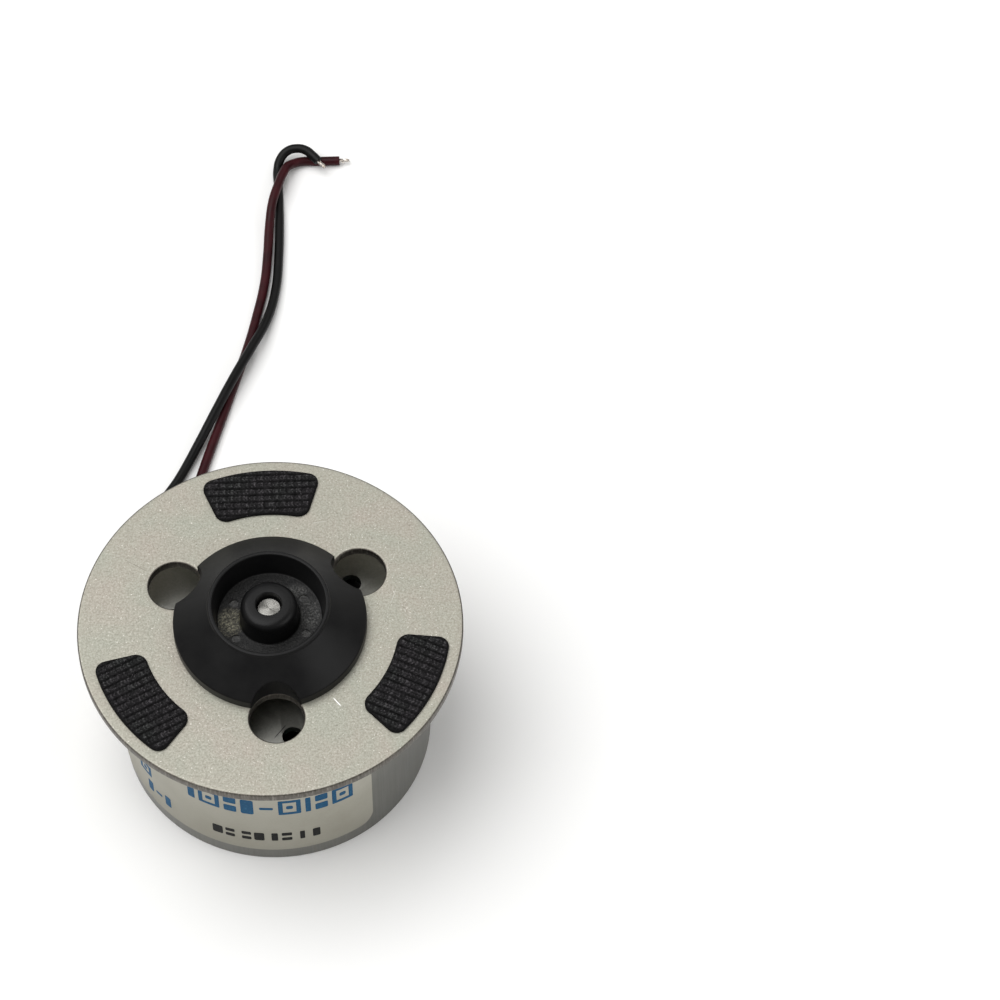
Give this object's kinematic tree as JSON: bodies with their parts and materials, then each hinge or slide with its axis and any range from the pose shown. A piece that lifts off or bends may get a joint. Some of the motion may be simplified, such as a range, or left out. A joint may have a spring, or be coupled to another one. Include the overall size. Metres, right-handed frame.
{
  "type": "disc spindle motor",
  "caption": "Flat brushed DC spindle motor with an aluminium turntable, black centring hub, friction pads and two flying leads.",
  "frame": {"origin": "centre of the rim that the case stands on", "axes": "+Z along the shaft, up towards the centring hub; the leads leave towards +Y"},
  "size_m": [0.0296, 0.0714, 0.0188],
  "materials": {
    "case_steel": "zinc-plated, satin",
    "ferrite": "matte bonded ferrite",
    "bearing_bronze": "sintered, oiled",
    "cap_plastic": "moulded, fine matte",
    "bright_steel": "ground and polished",
    "spring_bronze": "rolled strip",
    "damper_rubber": "matte foam rubber",
    "terminal_brass": "stamped",
    "solder": "frozen solder",
    "label_paper": "coated paper, satin",
    "lead_red": "extruded insulation, satin",
    "lead_black": "extruded insulation, satin",
    "tinned_copper": "tinned strands",
    "turntable_aluminium": "bead-blasted",
    "hub_plastic": "moulded, satin cone and matte recess",
    "pad_cloth": "ribbed friction cloth",
    "black_fibre": "matte",
    "pale_nylon": "satin",
    "insulator_sheet": "matte",
    "enamelled_copper": "enamelled wire",
    "brown_resin": "satin",
    "bare_copper": "turned",
    "varistor_ceramic": "fired ceramic",
    "core_steel": "stamped electrical steel"
  },
  "bodies": {
    "stator": {"motor_can": "case_steel", "magnet_ring": "ferrite", "front_bearing": "bearing_bronze", "end_cap": "cap_plastic", "rear_bearing": "bearing_bronze", "thrust_plate": "bright_steel", "brush_arm_positive": "spring_bronze", "brush_arm_negative": "spring_bronze", "brush_damper_positive": "damper_rubber", "brush_damper_negative": "damper_rubber", "terminal_positive": "terminal_brass", "terminal_negative": "terminal_brass", "solder_positive": "solder", "solder_negative": "solder", "label": "label_paper", "lead_red": "lead_red", "lead_black": "lead_black", "lead_tip_red": "tinned_copper", "lead_tip_black": "tinned_copper"},
    "rotor": {"shaft": "bright_steel", "turntable_disc": "turntable_aluminium", "centring_hub": "hub_plastic", "friction_pad_1": "pad_cloth", "friction_pad_2": "pad_cloth", "friction_pad_3": "pad_cloth", "washer_steel": "bright_steel", "washer_fibre": "black_fibre", "washer_rear": "pale_nylon", "core_insulator_top": "insulator_sheet", "core_insulator_bottom": "insulator_sheet", "winding_1": "enamelled_copper", "winding_2": "enamelled_copper", "winding_3": "enamelled_copper", "commutator_sleeve": "brown_resin", "commutator_segment_1": "bare_copper", "commutator_segment_2": "bare_copper", "commutator_segment_3": "bare_copper", "commutator_ring": "black_fibre", "varistor_ring": "varistor_ceramic", "lamination_1": "core_steel", "lamination_2": "core_steel", "lamination_3": "core_steel", "lamination_4": "core_steel", "lamination_5": "core_steel", "lamination_6": "core_steel", "lamination_7": "core_steel", "lamination_8": "core_steel"}
  },
  "joints": [
    {"name": "rotor_spin", "type": "hinge", "parent": "stator", "child": "rotor", "pos_m": [0, 0, 0], "axis": [0, 0, 1], "continuous": true}
  ]
}
